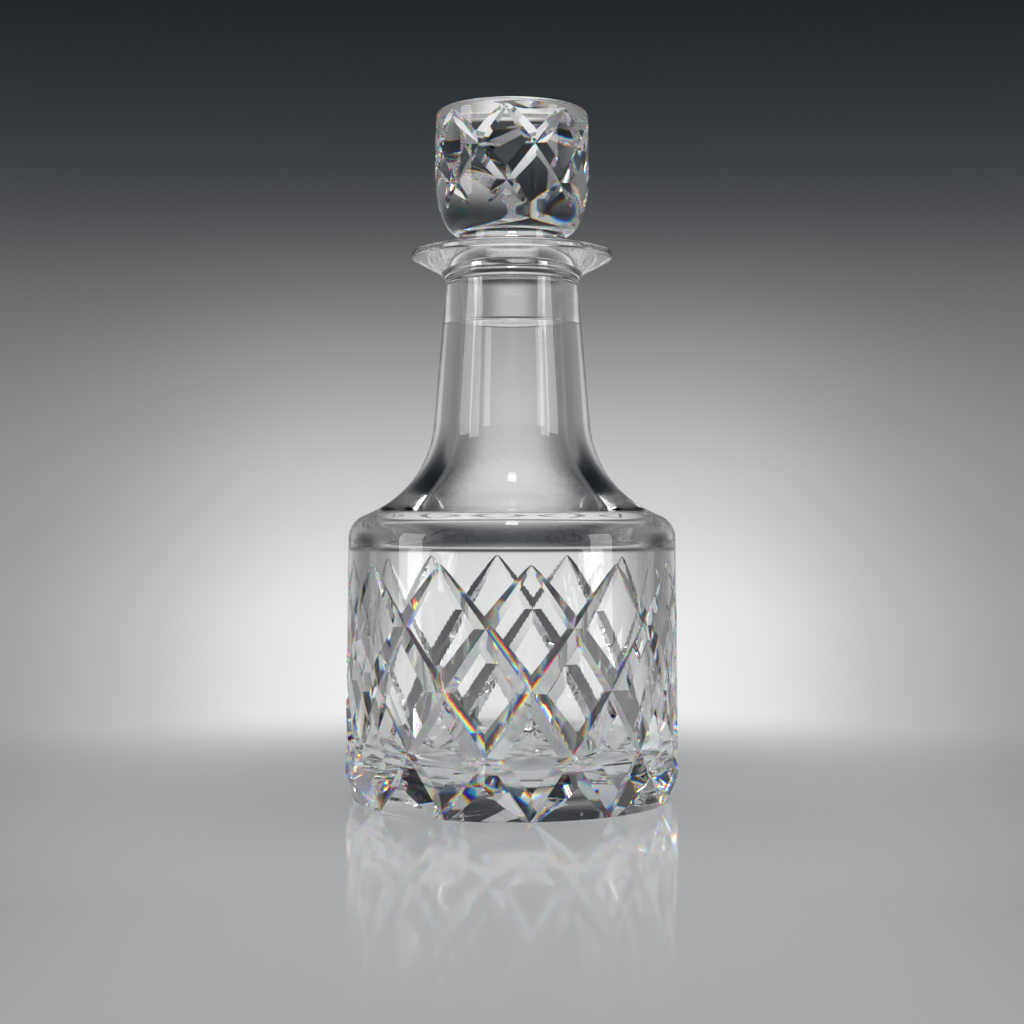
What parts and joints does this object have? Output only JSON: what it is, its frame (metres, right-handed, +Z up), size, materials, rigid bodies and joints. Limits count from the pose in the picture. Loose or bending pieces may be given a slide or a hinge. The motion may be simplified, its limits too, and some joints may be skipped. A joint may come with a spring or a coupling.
{
  "type": "cut crystal decanter",
  "caption": "Thick-walled cut crystal decanter with a diamond lattice of mitre cuts, sloping shoulder, tall neck, flared lip and a solid cut stopper on a ground taper plug",
  "frame": {"origin": "centre of the foot, on the surface that the decanter stands on", "axes": "+Z up along the axis of the decanter; -Y is the front; +X is to the right seen from the front"},
  "size_m": [0.1262, 0.1262, 0.26],
  "materials": {
    "body_crystal": "polished clear",
    "stopper_crystal": "polished clear"
  },
  "bodies": {
    "decanter": {"decanter_body": "body_crystal"},
    "stopper": {"stopper": "stopper_crystal"}
  },
  "joints": [
    {"name": "stopper_lift", "type": "slide", "parent": "decanter", "child": "stopper", "axis": [0, 0, 1], "range_m": [0, 0.08]}
  ]
}
